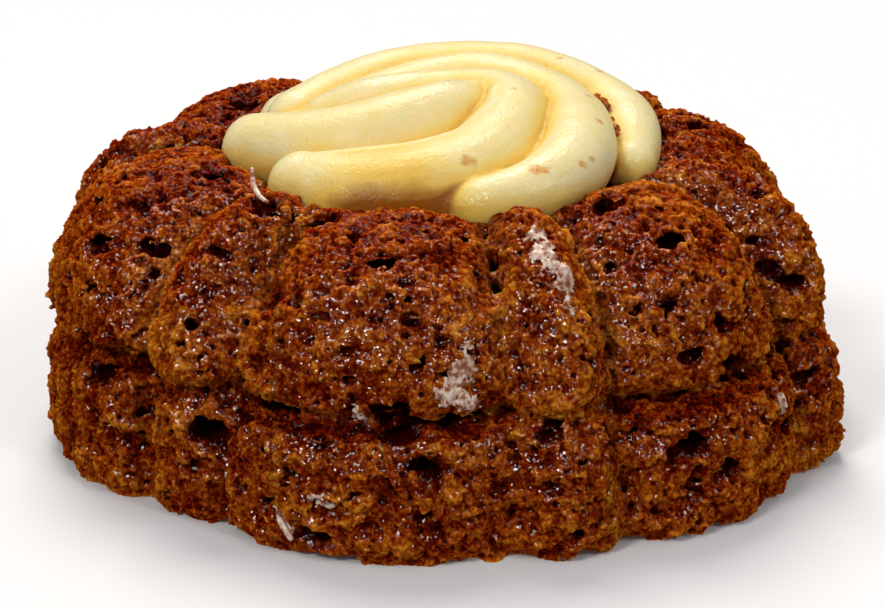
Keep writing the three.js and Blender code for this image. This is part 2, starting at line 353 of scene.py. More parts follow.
def crumb_tree():
    """Geometry Nodes: a volume whose depth under the form's surface is roughened and eaten by pores."""
    tree, given = new_tree("open crumb", {
        "Object": ["Form"],
        "Vector": ["Low corner", "High corner", "Centre"],
        "Float": [
            "Voxel", "Bulge size", "Bulge height", "Ledge size", "Ledge flatness", "Ledge height",
            "Swirl size", "Swirl", "Pore reach", "Rim softness", "Least island",
        ],
        "Material": ["Material"],
    })
    place = add(tree, "GeometryNodeInputPosition")
    smooth = add(tree, "GeometryNodeObjectInfo", {"Object": given["Form"]}).outputs["Geometry"]

    # depth under the smooth form: the form is seen whole from its centre, so the side is known
    nearest = add(tree, "GeometryNodeProximity", {"Geometry": smooth}, target_element="FACES")
    away = add(tree, "ShaderNodeVectorMath", {0: place, 1: nearest.outputs["Position"]}, operation="SUBTRACT")
    spoke = add(tree, "ShaderNodeVectorMath", {
        0: nearest.outputs["Position"], 1: given["Centre"],
    }, operation="SUBTRACT")
    side = add(tree, "ShaderNodeVectorMath", {0: away, 1: spoke}, operation="DOT_PRODUCT")
    sign = add(tree, "ShaderNodeMath", {0: side.outputs["Value"]}, operation="SIGN")
    height = add(tree, "ShaderNodeMath", {0: nearest.outputs["Distance"], 1: sign}, operation="MULTIPLY")
    depth = add(tree, "ShaderNodeMath", {0: height, 1: -1.0}, operation="MULTIPLY")

    # a swirl for the lumps and the pores
    swirl_scale = add(tree, "ShaderNodeMath", {0: 1.0, 1: given["Swirl size"]}, operation="DIVIDE")
    stirred = stirred_place(tree, place, given["Swirl"], {
        "Scale": swirl_scale, "Detail": 2.0, "Roughness": 0.6,
    })

    # 1 where the crust shows, 0 on the underside and in the well under the cream
    where = add(tree, "ShaderNodeSeparateXYZ", {0: place}).outputs
    flat_radius = 0.0
    for (edge, radius), test in ((EVEN_BELOW, "LESS_THAN"), (EVEN_ABOVE, "GREATER_THAN")):
        inside = add(tree, "ShaderNodeMath", {0: where[2], 1: edge * MM}, operation=test)
        flat_radius = add(tree, "ShaderNodeMath", {0: inside, 1: radius * MM, 2: flat_radius},
                          operation="MULTIPLY_ADD")
    level_place = add(tree, "ShaderNodeVectorMath", {0: place, 1: (1, 1, 0)}, operation="MULTIPLY")
    off_axis = add(tree, "ShaderNodeVectorMath", {0: level_place}, operation="LENGTH").outputs["Value"]
    beyond = add(tree, "ShaderNodeMath", {0: off_axis, 1: flat_radius}, operation="SUBTRACT")
    crusty = add(tree, "ShaderNodeMapRange", {"Value": beyond, "From Min": 0.0, "From Max": EVEN_RIM * MM})

    # broad bulges, and flat ledges where the batter rose in layers
    relief = 0.0
    flat = add(tree, "ShaderNodeCombineXYZ", {0: 1.0, 1: 1.0, 2: given["Ledge flatness"]})
    layered = add(tree, "ShaderNodeVectorMath", {0: stirred, 1: flat}, operation="MULTIPLY")
    for size, rise, spot in (
        ("Bulge size", "Bulge height", stirred), ("Ledge size", "Ledge height", layered),
    ):
        scale = add(tree, "ShaderNodeMath", {0: 1.0, 1: given[size]}, operation="DIVIDE")
        waves = add(tree, "ShaderNodeTexNoise", {"Vector": spot, "Scale": scale, "Detail": 2.0})
        centred = add(tree, "ShaderNodeMath", {0: waves, 1: 0.5}, operation="SUBTRACT")
        relief = add(tree, "ShaderNodeMath", {0: centred, 1: given[rise], 2: relief},
                     operation="MULTIPLY_ADD")

    # packed crumbs: round on top, with a crease where two meet
    for spacing, rise in LUMPS:
        cells = add(tree, "ShaderNodeTexVoronoi", {"Vector": stirred, "Scale": 1 / (spacing * MM)})
        round_top = add(tree, "ShaderNodeMath", {0: cells, 1: 2.0}, operation="POWER")
        drop = add(tree, "ShaderNodeMath", {0: round_top, 1: -rise * MM, 2: LUMP_MIDDLE * rise * MM},
                   operation="MULTIPLY_ADD")
        relief = add(tree, "ShaderNodeMath", {0: relief, 1: drop}, operation="ADD")
    field = add(tree, "ShaderNodeMath", {0: relief, 1: crusty, 2: depth}, operation="MULTIPLY_ADD")

    # pores, which stop a little way in
    inner = add(tree, "ShaderNodeMath", {0: given["Pore reach"], 1: PORE_FADE}, operation="MULTIPLY")
    fade = add(tree, "ShaderNodeMapRange", {
        "Value": depth, "From Min": inner, "From Max": given["Pore reach"],
        "To Min": crusty, "To Max": 0.0,
    })
    for spacing, radius, share_without, flatness in PORES:
        squashed = add(tree, "ShaderNodeVectorMath", {0: stirred, 1: (1, 1, flatness)}, operation="MULTIPLY")
        cells = add(tree, "ShaderNodeTexVoronoi", {"Vector": squashed, "Scale": 1 / (spacing * MM)})
        chance = add(tree, "ShaderNodeSeparateXYZ", {0: cells.outputs["Color"]}).outputs[0]
        size = add(tree, "ShaderNodeMapRange", {
            "Value": chance, "From Min": share_without, "To Max": radius * MM, "To Min": 0.0,
        })
        faded = add(tree, "ShaderNodeMath", {0: size, 1: fade}, operation="MULTIPLY")
        reach = add(tree, "ShaderNodeMath", {0: cells, 1: spacing * MM}, operation="MULTIPLY")
        wall = add(tree, "ShaderNodeMath", {0: reach, 1: faded}, operation="SUBTRACT")
        field = add(tree, "ShaderNodeMath", {0: field, 1: wall, 2: given["Rim softness"]},
                    operation="SMOOTH_MIN")

    # the gap between the tiers, at the height of the crease
    level = add(tree, "ShaderNodeVectorMath", {
        0: stirred, 1: (0.0, -TOP_TILT * CREASE_HEIGHT / CREST[1], 1.0),
    }, operation="DOT_PRODUCT").outputs["Value"]
    above = add(tree, "ShaderNodeMath", {0: level, 1: CREASE_HEIGHT * MM}, operation="SUBTRACT")
    off = add(tree, "ShaderNodeMath", {0: above}, operation="ABSOLUTE")
    waver = add(tree, "ShaderNodeTexNoise", {"Vector": place, "Scale": 1 / (GAP_WAVER * MM), "Detail": 1.0})
    open_share = 0.0
    for left, right, share in GAP_STRETCHES:
        middle, half = (left + right) / 2, (right - left) / 2
        past = add(tree, "ShaderNodeMath", {0: where[0], 1: middle * MM}, operation="SUBTRACT")
        aside = add(tree, "ShaderNodeMath", {0: past}, operation="ABSOLUTE")
        here = add(tree, "ShaderNodeMapRange", {
            "Value": aside, "From Min": half * MM, "From Max": (half - GAP_FADE) * MM, "To Max": share,
        })
        open_share = add(tree, "ShaderNodeMath", {0: open_share, 1: here}, operation="MAXIMUM")
    wavering = add(tree, "ShaderNodeMapRange", {
        "Value": waver, "From Min": GAP_SHUT, "From Max": GAP_OPEN, "To Min": -0.2, "To Max": 1.0,
    })
    open_share = add(tree, "ShaderNodeMath", {0: open_share, 1: wavering}, operation="MULTIPLY")
    gap = add(tree, "ShaderNodeMath", {0: open_share, 1: -GAP_HEIGHT / 2 * MM, 2: off},
              operation="MULTIPLY_ADD")
    behind = add(tree, "ShaderNodeMath", {0: depth, 1: GAP_REACH * MM}, operation="SUBTRACT")
    wall = add(tree, "ShaderNodeMath", {0: gap, 1: behind}, operation="MAXIMUM")
    field = add(tree, "ShaderNodeMath", {0: field, 1: wall, 2: given["Rim softness"]}, operation="SMOOTH_MIN")

    # the largest holes
    for x, y, z, width, rise in HOLES:
        inward = width * HOLE_STRETCH
        local = add(tree, "ShaderNodeVectorMath", {
            0: stirred, 1: (1 / (width * MM), 1 / (inward * MM), 1 / (rise * MM)),
            2: (-x / width, -y / inward, -z / rise),
        }, operation="MULTIPLY_ADD")
        ball = add(tree, "ShaderNodeVectorMath", {0: local}, operation="LENGTH").outputs["Value"]
        wall = add(tree, "ShaderNodeMath", {0: ball, 1: rise * MM, 2: -rise * MM}, operation="MULTIPLY_ADD")
        field = add(tree, "ShaderNodeMath", {0: field, 1: wall}, operation="MINIMUM")

    # the volume, its surface, and only the one island that is the cake itself
    density = add(tree, "ShaderNodeMath", {0: field, 1: given["Voxel"]}, operation="DIVIDE")
    span = add(tree, "ShaderNodeVectorMath", {
        0: given["High corner"], 1: given["Low corner"],
    }, operation="SUBTRACT")
    steps = add(tree, "ShaderNodeVectorMath", {0: span, 1: given["Voxel"]}, operation="DIVIDE")
    counts = add(tree, "ShaderNodeSeparateXYZ", {0: steps}).outputs
    volume = add(tree, "GeometryNodeVolumeCube", {
        "Density": density, "Background": -1.0,
        "Min": given["Low corner"], "Max": given["High corner"],
        "Resolution X": counts[0], "Resolution Y": counts[1], "Resolution Z": counts[2],
    })
    surface = add(tree, "GeometryNodeVolumeToMesh", {"Volume": volume, "Threshold": 0.0, "Adaptivity": 0.02})
    island = add(tree, "GeometryNodeInputMeshIsland").outputs["Island Index"]
    total = add(tree, "GeometryNodeAccumulateField", {"Value": 1.0, "Group Index": island}).outputs["Total"]
    small = add(tree, "FunctionNodeCompare", {0: total, 1: given["Least island"]}, operation="LESS_THAN")
    whole = add(tree, "GeometryNodeDeleteGeometry", {"Geometry": surface, "Selection": small})
    # deep inside, where pieces only meet each other, the faces are made large
    unseen = add(tree, "FunctionNodeCompare", {0: depth, 1: UNSEEN_DEPTH * MM}, operation="GREATER_THAN")
    light = add(tree, "GeometryNodeMergeByDistance", {
        "Geometry": whole, "Selection": unseen, "Distance": UNSEEN_FACE * MM,
    })
    kept = add(tree, "GeometryNodeStoreNamedAttribute", {"Geometry": light, "Name": "depth", "Value": depth})

    # which way the smooth form faces there
    facing = add(tree, "GeometryNodeSampleNearestSurface", {
        "Mesh": smooth, "Value": add(tree, "GeometryNodeInputNormal"),
    }, data_type="FLOAT_VECTOR")
    kept = add(tree, "GeometryNodeStoreNamedAttribute", {
        "Geometry": kept, "Name": "facing", "Value": facing,
    }, data_type="FLOAT_VECTOR")

    # beads, tilted flakes and rubble stand on that surface, with pinholes between them
    fine = add(tree, "GeometryNodeSubdivisionSurface", {"Mesh": kept, "Level": 1})
    cells = add(tree, "ShaderNodeTexVoronoi", {"Vector": stirred, "Scale": 1 / (BEAD_SPACING * MM)})
    bead = add(tree, "ShaderNodeMath", {0: cells, 1: 0.5}, operation="SUBTRACT")
    rise = add(tree, "ShaderNodeMath", {0: bead, 1: -2 * BEAD_HEIGHT * MM}, operation="MULTIPLY")
    flakes = add(tree, "ShaderNodeTexVoronoi", {"Vector": stirred, "Scale": 1 / (FLAKE_SPACING * MM)}).outputs
    across = add(tree, "ShaderNodeVectorMath", {0: stirred, 1: flakes["Position"]}, operation="SUBTRACT")
    tilt = add(tree, "ShaderNodeVectorMath", {0: flakes["Color"], 1: (0.5, 0.5, 0.5)}, operation="SUBTRACT")
    slope = add(tree, "ShaderNodeVectorMath", {0: across, 1: tilt}, operation="DOT_PRODUCT").outputs["Value"]
    rise = add(tree, "ShaderNodeMath", {0: slope, 1: 2 * FLAKE_SLOPE, 2: rise}, operation="MULTIPLY_ADD")
    rubble = add(tree, "ShaderNodeTexNoise", {
        "Vector": layered, "Scale": 1 / (RUBBLE_SIZE * MM), "Detail": 2.0, "Roughness": 0.6,
    })
    centred = add(tree, "ShaderNodeMath", {0: rubble, 1: 0.5}, operation="SUBTRACT")
    rise = add(tree, "ShaderNodeMath", {0: centred, 1: RUBBLE_HEIGHT * MM, 2: rise}, operation="MULTIPLY_ADD")
    cells = add(tree, "ShaderNodeTexVoronoi", {"Vector": stirred, "Scale": 1 / (PINHOLE_SPACING * MM)})
    pinhole = add(tree, "ShaderNodeMapRange", {
        "Value": cells, "From Min": 0.0, "From Max": PINHOLE_RADIUS / PINHOLE_SPACING,
        "To Min": -PINHOLE_DEPTH * MM, "To Max": 0.0,
    }, interpolation_type="SMOOTHSTEP")
    rise = add(tree, "ShaderNodeMath", {0: rise, 1: pinhole}, operation="ADD")
    normal = add(tree, "GeometryNodeInputNormal")
    offset = add(tree, "ShaderNodeVectorMath", {0: normal, "Scale": rise}, operation="SCALE")
    marked = add(tree, "GeometryNodeStoreNamedAttribute", {"Geometry": fine, "Name": "bead", "Value": rise})
    beaded = add(tree, "GeometryNodeSetPosition", {"Geometry": marked, "Offset": offset})
    # nothing hangs lower than the base
    raised = add(tree, "ShaderNodeMath", {0: where[2], 1: 0.0}, operation="MAXIMUM")
    rest = add(tree, "ShaderNodeCombineXYZ", {0: where[0], 1: where[1], 2: raised})
    rested = add(tree, "GeometryNodeSetPosition", {"Geometry": beaded, "Position": rest})
    soft = add(tree, "GeometryNodeSetShadeSmooth", {0: rested})
    end_tree(tree, soft, given["Material"])
    return tree


def grown(name, tree, inputs, start=None):
    """The plain mesh that a tree of nodes makes from its named inputs, and from a mesh to start with."""
    seed = new_object(name + " seed", start or bpy.data.meshes.new(name))
    modifier = seed.modifiers.new("nodes", "NODES")
    modifier.node_group = tree
    for item in tree.interface.items_tree:
        if item.in_out == "INPUT" and item.name in inputs:
            modifier[item.identifier] = inputs[item.name]
    view = bpy.context.evaluated_depsgraph_get()
    mesh = bpy.data.meshes.new_from_object(seed.evaluated_get(view), depsgraph=view)
    mesh.name = name
    bpy.data.objects.remove(seed)
    return mesh


# The drops of the wet film and the grains of the crumb. Real ones are half as wide; these are drawn
# coarser so that they show. The pits in a grain's own surface, and the patches that drank more syrup.
DROP = 0.36
GRAIN = 0.55
GRAIN_BENDS = 1.1
GRAIN_BEND = 1.4
FINE_PIT = 0.3
PATCH = 1.6
PATCH_TINT = 0.7
# The crumb's colour goes from the palest at the first depth under the crust to the darkest at the second: the
# crumb's own amber and red-brown, with painted light on what stands out and painted shade, near black, down
# in cells and pits.
PALE_DEPTH, DARK_DEPTH = -1.2, 2.3
SYRUP_PALE = "#cd8321"
SYRUP_AMBER = "#9c4a0e"
SYRUP_RED = "#6e1803"
SYRUP_SHADED_DARK = "#2e0201"
# The film thins from the first depth to the second. How far its drops face askew and upwards, and how much
# of the crumb's own bumps they follow.
WET_DEPTH, DRY_DEPTH = 0.8, 2.4
DROP_ASKEW = 1.2
DROP_UPWARD = 0.08
DROP_FOLLOW = 0.7


def soaked_crumb():
    """Sponge cake, baked brown and soaked in syrup: its crumb is translucent amber and red-brown, painted
    paler where it stands out and painted in shade down in its cells, under a wet film that sparkles in drops."""
    material, tree = new_material("syrup-soaked sponge")
    place = add(tree, "ShaderNodeTexCoord").outputs["Object"]
    depth = add(tree, "ShaderNodeAttribute", attribute_name="depth").outputs["Fac"]
    crumb = add(tree, "ShaderNodeAttribute", attribute_name="bead").outputs["Fac"]
    # a bead's own height counts twice, so that the beads stand out pale: painted light on the raised beads
    under = add(tree, "ShaderNodeMath", {0: crumb, 1: -2.0, 2: depth}, operation="MULTIPLY_ADD")
    share = add(tree, "ShaderNodeMapRange", {
        "Value": under, "From Min": PALE_DEPTH * MM, "From Max": DARK_DEPTH * MM,
    })
    patch = add(tree, "ShaderNodeTexNoise", {
        "Vector": place, "Scale": 1 / (PATCH * MM), "Detail": 3.0, "Roughness": 0.6,
    })
    patchy = add(tree, "ShaderNodeMath", {
        0: patch, 1: PATCH_TINT, 2: -PATCH_TINT / 2,
    }, operation="MULTIPLY_ADD")

    # the grains of the crumb: each a round drop of wet crumb with its own random tone, and painted shade in
    # the crevice where two meet
    stirred = stirred_place(tree, place, GRAIN_BEND * MM, {"Scale": 1 / (GRAIN_BENDS * MM), "Detail": 1.0})
    grains = add(tree, "ShaderNodeTexVoronoi", {"Vector": stirred, "Scale": 1 / (GRAIN * MM)})
    gap = add(tree, "ShaderNodeMath", {0: grains, 1: 0.6, 2: -0.26}, operation="MULTIPLY_ADD")
    tint = add(tree, "ShaderNodeSeparateXYZ", {0: grains.outputs["Color"]}).outputs[0]
    grain_tone_and_shade = add(tree, "ShaderNodeMath", {0: tint, 1: -0.15, 2: gap}, operation="MULTIPLY_ADD")

    # painted shade: the up-facing top and the lower tier are drawn darker
    facing = add(tree, "ShaderNodeAttribute", attribute_name="facing").outputs["Vector"]
    upward = add(tree, "ShaderNodeSeparateXYZ", {0: facing}).outputs[2]
    top_shade = add(tree, "ShaderNodeMapRange", {
        "Value": upward, "From Min": 0.3, "From Max": 0.9, "To Min": 0.0, "To Max": 0.17,
    })
    low = add(tree, "ShaderNodeMapRange", {
        "Value": add(tree, "ShaderNodeSeparateXYZ", {0: place}).outputs[2],
        "From Min": 12 * MM, "From Max": 24 * MM, "To Min": 0.08, "To Max": 0.0,
    })
    level = share
    for more in (patchy, top_shade, low, grain_tone_and_shade):
        level = add(tree, "ShaderNodeMath", {0: level, 1: more}, operation="ADD")
    # the ramp: the crumb's own amber and red-brown, with painted shade deep in cells, on the top, on the
    # lower tier and in the crevices between grains
    ramp = add(tree, "ShaderNodeValToRGB", {"Fac": level})
    stops = ramp.color_ramp.elements
    stops[0].position, stops[0].color = 0.0, linear(SYRUP_PALE)
    stops[1].position, stops[1].color = 0.85, linear(SYRUP_SHADED_DARK)
    for position, colour in ((0.28, SYRUP_AMBER), (0.55, SYRUP_RED)):
        stops.new(position).color = linear(colour)
    fine = add(tree, "ShaderNodeTexNoise", {"Vector": place, "Scale": 1 / (FINE_PIT * MM), "Detail": 1.0})
    rounded = add(tree, "ShaderNodeMath", {0: grains, 1: -1.0, 2: 1.0}, operation="MULTIPLY_ADD")
    grainy = add(tree, "ShaderNodeBump", {"Height": rounded, "Strength": 1.0, "Distance": 0.12 * MM})
    bump = add(tree, "ShaderNodeBump", {
        "Height": fine, "Strength": 1.0, "Distance": 0.09 * MM, "Normal": grainy,
    })
    rough = add(tree, "ShaderNodeMapRange", {
        "Value": patch, "From Min": 0.3, "From Max": 0.7, "To Min": 0.15, "To Max": 0.3,
    })

    # the wet film: a drop on each grain, that faces the way the cake does, a little upwards and askew
    drops = add(tree, "ShaderNodeTexVoronoi", {"Vector": place, "Scale": 1 / (DROP * MM)}).outputs["Color"]
    askew = add(tree, "ShaderNodeVectorMath", {
        0: drops, 1: (0.5, 0.5, 0.5 - DROP_UPWARD),
    }, operation="SUBTRACT")
    tilted = add(tree, "ShaderNodeVectorMath", {
        0: askew, 1: [DROP_ASKEW] * 3, 2: facing,
    }, operation="MULTIPLY_ADD")
    blended = add(tree, "ShaderNodeVectorMath", {
        0: bump, 1: [DROP_FOLLOW] * 3, 2: tilted,
    }, operation="MULTIPLY_ADD")
    film = add(tree, "ShaderNodeVectorMath", {0: blended}, operation="NORMALIZE")

    # the film is whole on the sides, thin on the top, where it has sunk in, and gone down in the holes
    sunk = add(tree, "ShaderNodeMapRange", {
        "Value": upward, "From Min": 0.45, "From Max": 0.9, "To Min": 1.0, "To Max": 0.12,
    })
    outside = add(tree, "ShaderNodeMapRange", {
        "Value": depth, "From Min": WET_DEPTH * MM, "From Max": DRY_DEPTH * MM, "To Min": 1.0, "To Max": 0.0,
    })
    wet = add(tree, "ShaderNodeMath", {0: sunk, 1: outside}, operation="MULTIPLY")
    shade = add(tree, "ShaderNodeBsdfPrincipled", {
        "Base Color": ramp, "Roughness": rough, "Normal": bump,
        "Subsurface Weight": 0.75, "Subsurface Radius": (1.0, 0.35, 0.08), "Subsurface Scale": 1.5 * MM,
        "Specular IOR Level": 0.0, "Coat Weight": wet, "Coat Roughness": 0.09, "Coat IOR": 1.65,
        "Coat Normal": film,
    })
    add(tree, "ShaderNodeOutputMaterial", {"Surface": shade})
    return material


form = new_object("cake form", cake_form())
form.hide_render = True
sponge = soaked_crumb()
tree = crumb_tree()
# The cells of the grid that the crumb is grown on. The pieces' edges lie a whole number of cells from the
# middle, and neighbours lap by two. A tier has its lowest and highest edge and the height of its ledges.
CELL = 0.54 * MM
LAP = 2 * CELL
EDGE = 98 * CELL
SPLIT = 33 * CELL
BASE = -2 * CELL
JOINT = 31 * CELL
TOP = 72 * CELL
TIERS = {"lower_tier": (BASE, JOINT, 3.2 * MM), "upper_tier": (JOINT - LAP, TOP, 1.6 * MM)}
ROWS = {"front": (-EDGE, LAP), "back": (-LAP, EDGE)}
COLUMNS = {"left": (-EDGE, -SPLIT), "middle": (-SPLIT - LAP, SPLIT + LAP), "right": (SPLIT, EDGE)}
SPONGE_PIECES = {
    f"{tier}_{row}_{column}": ((left, near, bottom), (right, far, top), ledges)
    for tier, (bottom, top, ledges) in TIERS.items()
    for row, (near, far) in ROWS.items()
    for column, (left, right) in COLUMNS.items()
}
for name, (low, high, ledges) in SPONGE_PIECES.items():
    mesh = grown(name, tree, {
        "Form": form, "Low corner": low, "High corner": high, "Centre": (0, 0, 3 * MM), "Voxel": CELL,
        "Bulge size": 8 * MM, "Bulge height": 1.8 * MM, "Ledge size": 4 * MM, "Ledge flatness": 2.2,
        "Ledge height": ledges, "Swirl size": 2.6 * MM, "Swirl": 2.4 * MM,
        "Pore reach": 3.4 * MM, "Rim softness": 0.15 * MM, "Least island": 3000.0, "Material": sponge,
    })
    piece = new_object(name, mesh)
    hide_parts("cake")
    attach(piece, "root")
bpy.data.objects.remove(form)

# ---- The cream: butter cream piped from a wide plain nozzle into the dished top, in hairpins that
# open to the left, each lower and further out than the last. Its ropes melt into one body, and the
# nozzle leaves fine streaks along them. Lengths are in millimetres.

# Each rope's stations: x, y, the height of its top, and half its width.
ROPES = [
    # the filling under the innermost fold
    [(-17.3, 0, 38.9, 7), (-7.4, 2, 41.3, 9), (4.5, 0, 41.4, 9), (11.4, -1, 39.9, 9)],
    # the innermost fold
    [(-22.9, -3.5, 39.4, 4.6), (-17.3, -7, 40.5, 5.2), (-11.4, -8.5, 41.6, 5.6), (-5.4, -8, 43.1, 5.5),
     (0.5, -5.5, 44.1, 4.8), (3.7, -2.5, 43.5, 3.6)],
    # the first hairpin, round the innermost fold
    [(-16.5, -17, 38.1, 4.2), (-10.4, -20, 38.7, 5.4), (-3.5, -20.5, 39.6, 6), (3, -17.5, 40.8, 6),
     (7.4, -11, 42.7, 5.4), (8.4, -4, 44, 4.8), (5, 0.5, 44.1, 4.3), (-1.5, 1, 43.8, 4.3),
     (-8.4, 0, 43.3, 3.8), (-13.9, 1, 41.1, 3.6)],
    # the second hairpin, which starts under the first
    [(-0.4, -22.5, 35.6, 3.2), (5.1, -24.5, 37.2, 3.4), (10.9, -22.5, 38.9, 3.9), (14.9, -17, 40.7, 4.6),
     (15.9, -9, 42.2, 5.1), (15.5, -2, 42.7, 4.6), (12.3, 4.5, 43.4, 4.3), (5.5, 9, 44.4, 5),
     (-1.5, 9, 43.7, 4.5), (-7.4, 6.5, 42.5, 4.2), (-12.4, 4.5, 40.9, 3.8)],
    # the outermost band, round the right and the back
    [(22.7, -9, 37.5, 3.3), (23.1, -3, 39.8, 4), (22.5, 3, 41.0, 4.3), (19.9, 8, 41.9, 4.4),
     (15.2, 11, 43.6, 4.9), (9.4, 13, 44.7, 6), (0.5, 14.5, 44.6, 6), (-7.4, 13, 43.7, 6),
     (-13.4, 10, 42.1, 5.5), (-18.3, 6, 40.4, 4.6)],
    # the lowest band, behind the outermost one
    [(21.3, 1, 37.4, 4.4), (20.5, 11, 39.4, 5.6), (13, 18.5, 40.4, 6), (0, 21.5, 40.6, 6),
     (-12.5, 18.5, 39.8, 5.8), (-19.5, 11.5, 38.8, 5)],
]
# The thin lip that stands along the first hairpin's inner edge, in the same measures.
LIP = [(-15.5, -15.2, 37.6, 0.7), (-10, -17.6, 38.8, 0.9), (-3.5, -18.1, 39.7, 1.0), (2.2, -15.6, 40.8, 1.0),
       (5.6, -10.6, 42.5, 0.9), (6.4, -5.5, 43.6, 0.7)]
ROPE_SIDES = 28
ROPE_STEP = 0.8
ROPE_CAP_STEPS = 8
# how far apart the ropes lie in the pattern of streaks, so that each has its own
ROPE_APART = 40.0
# as good as nothing: the least width, and how far apart two points count as one
HAIR = 0.001
# the bed's profile: radius and height
CREAM_BED = [(0, 30.6), (19.5, 31.2), (20.5, 33), (18, 35), (13, 37.5), (6, 39.3), (0, 39.6)]
CREAM_BED_SIDES = 48
CREAM_VOXEL = 0.35


def along_rope(stations):
    """Points a step apart on a Catmull-Rom curve through the stations: x, y, z, half width, distance."""
    knots = np.array([(x, y, top - half, half) for x, y, top, half in stations], float)
    ends = np.vstack([2 * knots[0] - knots[1], knots, 2 * knots[-1] - knots[-2]])
    rows = []
    for a, b, c, d in zip(ends, ends[1:], ends[2:], ends[3:]):
        steps = max(2, round(float(np.linalg.norm((c - b)[:3])) / ROPE_STEP))
        for t in np.arange(steps) / steps:
            rows.append(0.5 * (2 * b + (c - a) * t + (2 * a - 5 * b + 4 * c - d) * t ** 2
                               + (3 * b - a - 3 * c + d) * t ** 3))
    rows.append(knots[-1])
    rows = np.array(rows)
    length = np.concatenate([[0], np.cumsum(np.linalg.norm(np.diff(rows[:, :3], axis=0), axis=1))])
    return np.column_stack([rows, length])


def rope_mesh(stations, number):
    """A round-ended rope as rings of points, with its own lengthwise and crosswise measures."""
    line = along_rope(stations)
    tangents = np.gradient(line[:, :3], axis=0)
    tangents /= np.linalg.norm(tangents, axis=1)[:, None]
    rings = []
    turns = np.arange(1, ROPE_CAP_STEPS) / ROPE_CAP_STEPS * math.pi / 2
    for turn in turns:
        rings.append((line[0], tangents[0], math.sin(turn), -math.cos(turn)))
    rings += [(row, tangent, 1.0, 0.0) for row, tangent in zip(line, tangents)]
    for turn in turns[::-1]:
        rings.append((line[-1], tangents[-1], math.sin(turn), math.cos(turn)))
    points, measures = [], []
    angles = np.arange(ROPE_SIDES) / ROPE_SIDES * 2 * math.pi
    for row, tangent, share, ahead in rings:
        side = np.cross(tangent, (0, 0, 1))
        side /= np.linalg.norm(side)
        lift = np.cross(side, tangent)
        centre = row[:3] + tangent * row[3] * ahead
        for angle in angles:
            points.append(centre + (side * math.cos(angle) + lift * math.sin(angle)) * row[3] * share)
            measures.append((row[4] + row[3] * ahead, angle * row[3], number * ROPE_APART))
    points.append(line[0][:3] - tangents[0] * line[0][3])
    points.append(line[-1][:3] + tangents[-1] * line[-1][3])
    measures += [(0.0, 0.0, number * ROPE_APART), (line[-1][4], 0.0, number * ROPE_APART)]
    return np.array(points), skin_faces(len(rings), ROPE_SIDES), measures


def turned_bed():
    """The bed of cream under the ropes: a turned profile closed at the axis."""
    points = []
    middle = CREAM_BED[1:-1]
    for radius, height in middle:
        for s in range(CREAM_BED_SIDES):
            angle = s / CREAM_BED_SIDES * 2 * math.pi
            points.append((radius * math.sin(angle), -radius * math.cos(angle), height))
    points += [(0, 0, CREAM_BED[0][1]), (0, 0, CREAM_BED[-1][1])]
    faces = skin_faces(len(middle), CREAM_BED_SIDES)
    return np.array(points, float), faces, [(0.0, 0.0, 0.0)] * len(points)


def piped_ropes():
    """All ropes and their bed in one mesh, with the measures along and across each rope."""
    points, faces, measures = [], [], []
    start = 0
    for part in [rope_mesh(stations, n + 1) for n, stations in enumerate(ROPES + [LIP])] + [turned_bed()]:
        points.append(part[0] * MM)
        faces += [tuple(start + i for i in face) for face in part[1]]
        measures += part[2]
        start += len(part[0])
    mesh = bpy.data.meshes.new("piped ropes")
    mesh.from_pydata(np.concatenate(points).tolist(), [], faces)
    measure = mesh.attributes.new("measure", "FLOAT_VECTOR", "POINT")
    measure.data.foreach_set("vector", np.array(measures, np.float32).ravel())
    return mesh


# Tan stains, where wet crumbs touched the cream: x, y, z and half width. Each is moved to the cream's
# nearest point, and drawn from there a little way across, where it narrows.
STAINS = [
    (2.9, -22.7, 38.6, 0.75), (10.8, -24.2, 37.3, 0.9), (15.8, -22.1, 37.8, 0.5), (17.7, -5.5, 42.1, 0.45),
    (15.1, 9.8, 43.8, 0.4), (20.2, 8.4, 42.3, 0.35), (8.5, -7.6, 43.5, 0.3), (18.1, -12.5, 39.8, 0.5),
    (16.4, -20.2, 37.6, 0.4),
]
STAIN_NARROWING = 0.8


def wide_paths(paths, name):
    """Paths as loose edges, with the half width at each point: rows of x, y, z, half width."""
    points, edges, widths = [], [], []
    for path in paths:
        edges += [(len(points) + i, len(points) + i + 1) for i in range(len(path) - 1)]
        points += [(x * MM, y * MM, z * MM) for x, y, z, _ in path]
        widths += [width * MM for *_, width in path]
    mesh = bpy.data.meshes.new(name)
    mesh.from_pydata(points, edges, [])
    mesh.attributes.new("width", "FLOAT", "POINT").data.foreach_set("value", widths)
    return new_object(name, mesh)


